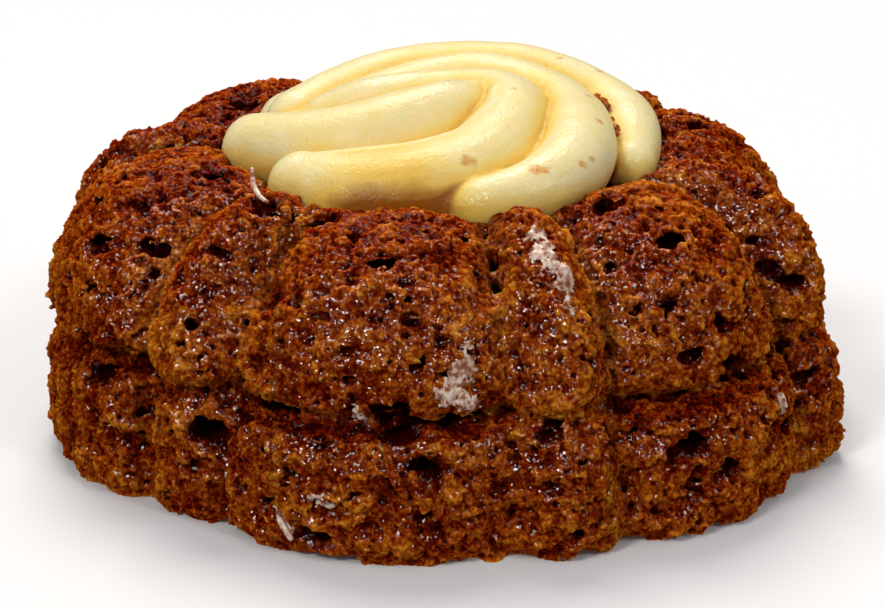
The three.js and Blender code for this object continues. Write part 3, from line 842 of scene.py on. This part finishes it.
def share_of_width(tree, paths, ragged_size, ragged):
    """How far a place is from the nearest path, as a share of the path's ragged half width there."""
    place = add(tree, "GeometryNodeInputPosition")
    away = add(tree, "GeometryNodeProximity", {"Geometry": paths}, target_element="EDGES").outputs["Distance"]
    index = add(tree, "GeometryNodeSampleNearest", {"Geometry": paths}, domain="POINT")
    width = add(tree, "GeometryNodeInputNamedAttribute", {"Name": "width"})
    half = add(tree, "GeometryNodeSampleIndex", {"Geometry": paths, "Value": width, "Index": index})
    per_rag = add(tree, "ShaderNodeMath", {0: 1.0, 1: ragged_size}, operation="DIVIDE")
    rags = add(tree, "ShaderNodeTexNoise", {"Vector": place, "Scale": per_rag, "Detail": 3.0})
    centred = add(tree, "ShaderNodeMath", {0: rags, 1: 0.5}, operation="SUBTRACT")
    factor = add(tree, "ShaderNodeMath", {0: centred, 1: ragged, 2: 1.0}, operation="MULTIPLY_ADD")
    edge = add(tree, "ShaderNodeMath", {0: half, 1: factor}, operation="MULTIPLY")
    least = add(tree, "ShaderNodeMath", {0: edge, 1: HAIR * MM}, operation="MAXIMUM")
    return add(tree, "ShaderNodeMath", {0: away, 1: least}, operation="DIVIDE")


# the cream's colours: painted light on the crests, painted shade in the grooves, and at the foot syrup soak
# with painted shade
CREAM_CREST = "#f5eabb"
CREAM_SIDE = "#f3de8e"
CREAM_GROOVE_SHADE = "#f0cd62"
CREAM_SOAKED_AND_SHADED = "#a5640f"
CREAM_STAIN = "#d6962f"
# how far a place lies above or below the cream round it, from a crest to a groove
GROOVE_RELIEF = 0.3
# the heights between which the foot's darkening fades, and the darker patch in front: its middle and its
# reach. Both are partly syrup that the cream has drunk and partly painted shade where the cake shades it.
FOOT_SOAK_SHADE_FULL, FOOT_SOAK_SHADE_END = 34.2, 36.8
FRONT_SOAK_SHADE = (-6, -25, 34)
FRONT_SOAK_SHADE_FULL, FRONT_SOAK_SHADE_END = 3, 10
# the sizes of its clouds of colour, of the speckles in a stain, and of the skin's dimples and pits
CLOUD = 5
SPECKLE = 0.5
DIMPLE = 0.8
SKIN_PIT = 0.4
CLOUD_TINT = 0.3
STAIN_STRENGTH = 1.4


def butter_cream():
    """Butter cream: whipped fat and sugar, which lets light in. It has painted light and shade: it is palest
    on the folds' crests, which have a satin skin, and yellower and darker in the grooves; its foot is tan,
    partly from syrup it has drunk and partly as painted shade."""
    material, tree = new_material("piped butter cream")
    place = add(tree, "ShaderNodeTexCoord").outputs["Object"]
    groove = add(tree, "ShaderNodeAttribute", attribute_name="groove").outputs["Fac"]
    # painted light and shade: paler on the crests, yellower and darker in the grooves
    sunk = add(tree, "ShaderNodeMapRange", {
        "Value": groove, "From Min": -GROOVE_RELIEF * MM, "From Max": GROOVE_RELIEF * MM,
        "To Min": 0.0, "To Max": 0.65,
    })
    # the foot is darker a little all round and most in front: partly syrup that it has drunk, partly painted
    # shade and painted reflection of the brown cake beside it
    height = add(tree, "ShaderNodeSeparateXYZ", {0: place}).outputs[2]
    foot = add(tree, "ShaderNodeMapRange", {
        "Value": height, "From Min": FOOT_SOAK_SHADE_FULL * MM, "From Max": FOOT_SOAK_SHADE_END * MM, "To Min": 0.5, "To Max": 0.0,
    })
    from_front_soak_shade = add(tree, "ShaderNodeVectorMath", {
        0: place, 1: Vector(FRONT_SOAK_SHADE) * MM,
    }, operation="DISTANCE").outputs["Value"]
    front_soak_shade = add(tree, "ShaderNodeMapRange", {
        "Value": from_front_soak_shade, "From Min": FRONT_SOAK_SHADE_FULL * MM, "From Max": FRONT_SOAK_SHADE_END * MM,
        "To Min": 0.6, "To Max": 0.0,
    })
    cloud = add(tree, "ShaderNodeTexNoise", {"Vector": place, "Scale": 1 / (CLOUD * MM), "Detail": 2.0})
    clouded = add(tree, "ShaderNodeMath", {
        0: cloud, 1: CLOUD_TINT, 2: -CLOUD_TINT / 2,
    }, operation="MULTIPLY_ADD")
    level = sunk
    for more in (foot, front_soak_shade, clouded):
        level = add(tree, "ShaderNodeMath", {0: level, 1: more}, operation="ADD")
    # the ramp: painted highlight on the crests, painted shade in the grooves, and soak with painted shade at
    # the foot
    ramp = add(tree, "ShaderNodeValToRGB", {"Fac": level})
    stops = ramp.color_ramp.elements
    stops[0].position, stops[0].color = 0.0, linear(CREAM_CREST)
    stops[1].position, stops[1].color = 1.0, linear(CREAM_SOAKED_AND_SHADED)
    for position, colour in ((0.3, CREAM_SIDE), (0.62, CREAM_GROOVE_SHADE)):
        stops.new(position).color = linear(colour)
    stain = add(tree, "ShaderNodeAttribute", attribute_name="stain").outputs["Fac"]
    speckle = add(tree, "ShaderNodeTexNoise", {"Vector": place, "Scale": 1 / (SPECKLE * MM), "Detail": 2.0})
    soaked = add(tree, "ShaderNodeMath", {0: stain, 1: speckle}, operation="MULTIPLY")
    strength = add(tree, "ShaderNodeMath", {
        0: soaked, 1: STAIN_STRENGTH,
    }, operation="MULTIPLY", use_clamp=True)
    colour = add(tree, "ShaderNodeMix", {
        0: strength, 6: ramp, 7: linear(CREAM_STAIN),
    }, data_type="RGBA").outputs[2]
    # the crests are the glossiest, and the skin is finely dimpled
    rough = add(tree, "ShaderNodeMapRange", {
        "Value": groove, "From Min": -0.35 * MM, "From Max": -0.1 * MM, "To Min": 0.26, "To Max": 0.5,
    })
    dimples = add(tree, "ShaderNodeTexNoise", {"Vector": place, "Scale": 1 / (DIMPLE * MM), "Detail": 2.0})
    fine = add(tree, "ShaderNodeTexNoise", {"Vector": place, "Scale": 1 / (SKIN_PIT * MM), "Detail": 1.0})
    wavy = add(tree, "ShaderNodeBump", {"Height": dimples, "Strength": 1.0, "Distance": 0.07 * MM})
    bump = add(tree, "ShaderNodeBump", {
        "Height": fine, "Strength": 1.0, "Distance": 0.06 * MM, "Normal": wavy,
    })
    shade = add(tree, "ShaderNodeBsdfPrincipled", {
        "Base Color": colour, "Roughness": rough, "Normal": bump,
        "Subsurface Weight": 0.8, "Subsurface Radius": (1.0, 0.75, 0.3), "Subsurface Scale": 1.6 * MM,
        "Specular IOR Level": 0.45,
    })
    add(tree, "ShaderNodeOutputMaterial", {"Surface": shade})
    return material


# how many rounds of blurring find the middle of a place's neighbourhood
GROOVE_SPREAD = 60


def streaked_tree():
    """Geometry Nodes: the joined cream, with the nozzle's streaks along each rope raised on it."""
    tree, given = new_tree("nozzle streaks", {
        "Object": ["Ropes", "Stains"],
        "Float": [
            "Ragged size", "Ragged", "Streak width", "Streak length", "Streak height", "Ripple size",
            "Ripple height",
        ],
        "Material": ["Material"],
    })
    ropes = add(tree, "GeometryNodeObjectInfo", {"Object": given["Ropes"]}).outputs["Geometry"]
    measure = add(tree, "GeometryNodeInputNamedAttribute", {"Name": "measure"}, data_type="FLOAT_VECTOR")
    on_rope = add(tree, "GeometryNodeSampleNearestSurface", {
        "Mesh": ropes, "Value": measure,
    }, data_type="FLOAT_VECTOR")
    parts = add(tree, "ShaderNodeSeparateXYZ", {0: on_rope}).outputs
    along = add(tree, "ShaderNodeMath", {0: parts[0], 1: given["Streak length"]}, operation="DIVIDE")
    across = add(tree, "ShaderNodeMath", {0: parts[1], 1: given["Streak width"]}, operation="DIVIDE")
    grid = add(tree, "ShaderNodeCombineXYZ", {0: along, 1: across, 2: parts[2]})
    streaks = add(tree, "ShaderNodeTexNoise", {"Vector": grid, "Scale": 1.0, "Detail": 2.0})
    streak = add(tree, "ShaderNodeMath", {0: streaks, 1: 0.5}, operation="SUBTRACT")
    raised = add(tree, "ShaderNodeMath", {0: streak, 1: given["Streak height"]}, operation="MULTIPLY")
    place = add(tree, "GeometryNodeInputPosition")
    per_ripple = add(tree, "ShaderNodeMath", {0: 1.0, 1: given["Ripple size"]}, operation="DIVIDE")
    ripples = add(tree, "ShaderNodeTexNoise", {"Vector": place, "Scale": per_ripple, "Detail": 2.0})
    ripple = add(tree, "ShaderNodeMath", {0: ripples, 1: 0.5}, operation="SUBTRACT")
    height = add(tree, "ShaderNodeMath", {
        0: ripple, 1: given["Ripple height"], 2: raised,
    }, operation="MULTIPLY_ADD")
    normal = add(tree, "GeometryNodeInputNormal")
    offset = add(tree, "ShaderNodeVectorMath", {0: normal, "Scale": height}, operation="SCALE")
    moved = add(tree, "GeometryNodeSetPosition", {"Geometry": given["Geometry"], "Offset": offset})
    # how deep each place lies in a groove: how far its neighbourhood's middle is above it
    around = add(tree, "GeometryNodeBlurAttribute", {
        "Value": place, "Iterations": GROOVE_SPREAD,
    }, data_type="FLOAT_VECTOR")
    over = add(tree, "ShaderNodeVectorMath", {0: around, 1: place}, operation="SUBTRACT")
    groove = add(tree, "ShaderNodeVectorMath", {0: over, 1: normal}, operation="DOT_PRODUCT").outputs["Value"]
    marked = add(tree, "GeometryNodeStoreNamedAttribute", {
        "Geometry": moved, "Name": "groove", "Value": groove,
    })
    # how strongly syrup has stained it there
    stains = add(tree, "GeometryNodeObjectInfo", {"Object": given["Stains"]}).outputs["Geometry"]
    share = share_of_width(tree, stains, given["Ragged size"], given["Ragged"])
    stain = add(tree, "ShaderNodeMapRange", {
        "Value": share, "From Min": 0.6, "From Max": 1.2, "To Min": 1.0, "To Max": 0.0,
    })
    marked = add(tree, "GeometryNodeStoreNamedAttribute", {
        "Geometry": marked, "Name": "stain", "Value": stain,
    })
    soft = add(tree, "GeometryNodeSetShadeSmooth", {0: marked})
    end_tree(tree, soft, given["Material"])
    return tree


def on_the_cream(point):
    """The cream's nearest point to one given in millimetres, and the way the cream faces there."""
    _, place, normal, _ = bare_cream.closest_point_on_mesh(Vector(point) * MM)
    return place, normal


ropes = new_object("piped ropes", piped_ropes())
ropes.hide_render = True
joined = new_object("joined cream", ropes.data.copy())
union = joined.modifiers.new("union", "REMESH")
union.mode = "VOXEL"
union.voxel_size = CREAM_VOXEL * MM
relax = joined.modifiers.new("relax", "SMOOTH")
relax.factor, relax.iterations = 0.5, 3
view = bpy.context.evaluated_depsgraph_get()
joined_mesh = bpy.data.meshes.new_from_object(joined.evaluated_get(view), depsgraph=view)
bpy.data.objects.remove(joined)
bare_cream = new_object("bare cream", joined_mesh)
bpy.context.view_layer.update()
spots = []
for *point, half in STAINS:
    x, y, z = on_the_cream(point)[0] / MM
    spots.append([(x - half / 2, y, z, half), (x + half / 2, y, z, half * STAIN_NARROWING)])
stains = wide_paths(spots, "stains")
mesh = grown("cream_swirl", streaked_tree(), {
    "Ropes": ropes, "Stains": stains, "Ragged size": 0.7 * MM, "Ragged": 2.6,
    "Streak width": 1.1, "Streak length": 9.0, "Streak height": 0.12 * MM,
    "Ripple size": 3.5 * MM, "Ripple height": 0.25 * MM, "Material": butter_cream(),
}, joined_mesh)
bpy.data.objects.remove(ropes)
bpy.data.objects.remove(stains)
swirl = new_object("cream_swirl", mesh)
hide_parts("cream")
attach(swirl, "root")

# ---- Dried cream on the crust: thin whitish smears where cream was wiped against the cake and dried, each
# a skin that follows the crumbs under it, grown from the crust's own faces near a path.

# Each smear's path: x, y, z and the smear's half width there, in millimetres.
SMEARS = [
    [(9.9, -35.9, 34.3, 1.0), (10.9, -39.7, 32.3, 1.25), (11.9, -40.3, 31.4, 0.9), (12.9, -41.1, 30.0, 1.1),
     (13.2, -42.5, 28.3, 0.4), (13.5, -43.3, 26.9, 0.4)],
    [(2.9, -45.2, 23.8, 0.7), (1.8, -46.4, 21.4, 1.3), (0.2, -47.1, 19.4, 1.0), (3.9, -46.3, 17.9, 1.0)],
    [(-9.9, -46.8, 17.8, 0.7), (-9.0, -45.3, 16.0, 0.7)],
    [(-13.8, -47.2, 7.2, 0.8), (-12.7, -47.6, 6.5, 0.6)],
    [(-18.4, -45.2, 5.1, 0.5), (-17.0, -46.2, 3.2, 0.5)],
]


def smear_tree():
    """Geometry Nodes: the crust's faces near a path, lifted off it and given a thickness."""
    tree, given = new_tree("dried smears", {
        "Collection": ["Crust"],
        "Object": ["Paths"],
        "Float": ["Ragged size", "Ragged", "Thickness", "Wrinkle size"],
        "Material": ["Material"],
    })
    crust = add(tree, "GeometryNodeCollectionInfo", {"Collection": given["Crust"]})
    whole = add(tree, "GeometryNodeRealizeInstances", {0: crust})
    paths = add(tree, "GeometryNodeObjectInfo", {"Object": given["Paths"]}).outputs["Geometry"]
    place = add(tree, "GeometryNodeInputPosition")
    share = share_of_width(tree, paths, given["Ragged size"], given["Ragged"])
    near = add(tree, "FunctionNodeCompare", {0: share, 1: 1.0}, operation="LESS_THAN")
    skin = add(tree, "GeometryNodeSeparateGeometry", {"Geometry": whole, "Selection": near}, domain="FACE")
    # wrinkled: thickest in the middle of each cell
    per_wrinkle = add(tree, "ShaderNodeMath", {0: 1.0, 1: given["Wrinkle size"]}, operation="DIVIDE")
    wrinkles = add(tree, "ShaderNodeTexVoronoi", {"Vector": place, "Scale": per_wrinkle})
    swell = add(tree, "ShaderNodeMath", {0: 1.1, 1: wrinkles}, operation="SUBTRACT")
    lift = add(tree, "ShaderNodeMath", {0: swell, 1: given["Thickness"]}, operation="MULTIPLY")
    soft = add(tree, "GeometryNodeSetShadeSmooth", {0: skin})
    raised = add(tree, "GeometryNodeExtrudeMesh", {
        "Mesh": soft, "Offset Scale": lift, "Individual": False,
    }, mode="FACES").outputs
    thick = add(tree, "GeometryNodeSetShadeSmooth", {
        0: raised[0], "Selection": raised["Side"], "Shade Smooth": False,
    })
    under = add(tree, "GeometryNodeFlipFaces", {"Mesh": soft})
    shell = add(tree, "GeometryNodeJoinGeometry", {0: thick})
    tree.links.new(under.outputs[0], shell.inputs[0])
    merged = add(tree, "GeometryNodeMergeByDistance", {"Geometry": shell, "Distance": HAIR * MM})
    end_tree(tree, merged, given["Material"])
    return tree


DRIED_THICK = "#f8ece3"
DRIED_THIN = "#d5b3a2"
DRIED_STAINED = "#935a43"
DRIED_PATCH = 0.8


def dried_cream():
    """Butter cream dried on syrup: a shiny skin, off-white where thick and tan where the syrup shows."""
    material, tree = new_material("dried butter cream")
    place = add(tree, "ShaderNodeTexCoord").outputs["Object"]
    stain = add(tree, "ShaderNodeTexNoise", {
        "Vector": place, "Scale": 1 / (DRIED_PATCH * MM), "Detail": 3.0,
    })
    ramp = add(tree, "ShaderNodeValToRGB", {"Fac": stain})
    stops = ramp.color_ramp.elements
    stops[0].position, stops[0].color = 0.38, linear(DRIED_STAINED)
    stops[1].position, stops[1].color = 0.68, linear(DRIED_THICK)
    stops.new(0.5).color = linear(DRIED_THIN)
    shade = add(tree, "ShaderNodeBsdfPrincipled", {
        "Base Color": ramp, "Roughness": 0.22, "Specular IOR Level": 0.6,
    })
    add(tree, "ShaderNodeOutputMaterial", {"Surface": shade})
    return material


crust = bpy.data.collections.new("crust")
for name in SPONGE_PIECES:
    if "front" in name:
        crust.objects.link(bpy.data.objects[name])
paths = wide_paths(SMEARS, "smear paths")
skin = dried_cream()
mesh = grown("dried_cream_smears", smear_tree(), {
    "Crust": crust, "Paths": paths, "Ragged size": 1.3 * MM, "Ragged": 3.6, "Thickness": 0.22 * MM,
    "Wrinkle size": 0.8 * MM, "Material": skin,
})
bpy.data.objects.remove(paths)
bpy.data.collections.remove(crust)
smears = new_object("dried_cream_smears", mesh)
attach(smears, "root")

# ---- Slivers and strands: thin curls and chips of dried cream that stand on the crust, where they broke
# off the swirl, and on the front a torn strand and a grain of wet crumb.

# Each one's stations: x, y, the height of its top and its half width, in millimetres.
SLIVERS = [
    [(-22.0, -22.0, 37.6, 0.2), (-21.7, -23.8, 36.4, 0.3), (-20.9, -25.6, 35.5, 0.3),
     (-19.9, -27.0, 35.1, 0.2)],
    [(-18.0, -45.9, 5.2, 0.3), (-17.5, -46.6, 4.2, 0.35), (-16.6, -47.0, 2.9, 0.3)],
    [(38.6, -31.2, 13.4, 0.5), (38.9, -31.4, 12.4, 0.6), (38.7, -31.4, 11.6, 0.4)],
    [(39.1, -4.0, 31.9, 0.3), (39.3, -4.0, 31.2, 0.4), (39.3, -4.0, 30.6, 0.3)],
    [(12.9, -40.9, 32.0, 0.7), (13.0, -41.1, 31.2, 0.9), (12.9, -41.3, 30.5, 0.7)],
]
STRANDS = [
    [(-6.2, -47.6, 14.0, 0.4), (-5.6, -48.9, 12.4, 0.55), (-4.8, -49.6, 10.6, 0.55), (-4.1, -49.6, 9.3, 0.4)],
    [(-3.3, -49.6, 11.8, 0.5), (-3.2, -49.8, 11.4, 0.6)],
]
for name, group, finish, slot in (
    ("cream_slivers", SLIVERS, skin, "butter_cream"), ("crumb_strand", STRANDS, sponge, "sponge"),
):
    points, faces = [], []
    for stations in group:
        part, part_faces, _ = rope_mesh(stations, 0)
        faces += [tuple(len(points) + i for i in face) for face in part_faces]
        points += (part * MM).tolist()
    mesh = bpy.data.meshes.new(name)
    mesh.from_pydata(points, [], faces)
    mesh.materials.append(finish)
    mesh.shade_smooth()
    piece = new_object(name, mesh)
    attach(piece, "root")

# ---- Crumbs on the cream: brown lumps of the soaked sponge that stuck to the edge of a fold, pressed a
# little way into the cream.

# Each crumb: x, y, z and its half width, in millimetres. Each is set on the cream's nearest point.
CRUMBS = [
    (19.1, -2.6, 40.3, 0.55), (19.7, -1.4, 39.9, 0.7), (19.3, -0.4, 40.4, 0.5), (20.0, -2.2, 39.3, 0.5),
    (18.7, -1.6, 40.8, 0.4), (20.7, -8.4, 38.7, 0.5), (20.9, -7.2, 38.5, 0.4), (20.6, -9.3, 38.3, 0.35),
    (18.4, -3.5, 41.0, 0.3), (20.4, -6.0, 39.2, 0.3),
]
# How rough the crumbs are, the size of their bumps, and how far a crumb's middle stands above the cream,
# as a share of its half width.
CRUMB_ROUGHNESS = 0.7
CRUMB_BUMP = 0.45
CRUMB_LIFT = 0.35
# how far apart the crumbs lie in the noise that roughens them, so that no two are alike
CRUMB_APART = 7.0


def crumb_lumps():
    """Roughened balls, each sunk by a third into the cream."""
    points, faces = [], []
    for number, (x, y, z, half) in enumerate(CRUMBS):
        place, normal = on_the_cream((x, y, z))
        ball = bmesh.new()
        bmesh.ops.create_icosphere(ball, subdivisions=3, radius=half * MM)
        start = len(points)
        for vert in ball.verts:
            wave = noise.noise(vert.co / (CRUMB_BUMP * MM) + Vector((number * CRUMB_APART, 0, 0)))
            points.append(vert.co * (1 + CRUMB_ROUGHNESS * wave) + place + normal * half * MM * CRUMB_LIFT)
        faces += [tuple(start + vert.index for vert in face.verts) for face in ball.faces]
        ball.free()
    mesh = bpy.data.meshes.new("cream_crumbs")
    mesh.from_pydata(points, [], faces)
    mesh.materials.append(sponge)
    mesh.shade_smooth()
    return mesh


crumbs = new_object("cream_crumbs", crumb_lumps())
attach(crumbs, "root")
bpy.data.objects.remove(bare_cream)

low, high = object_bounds()
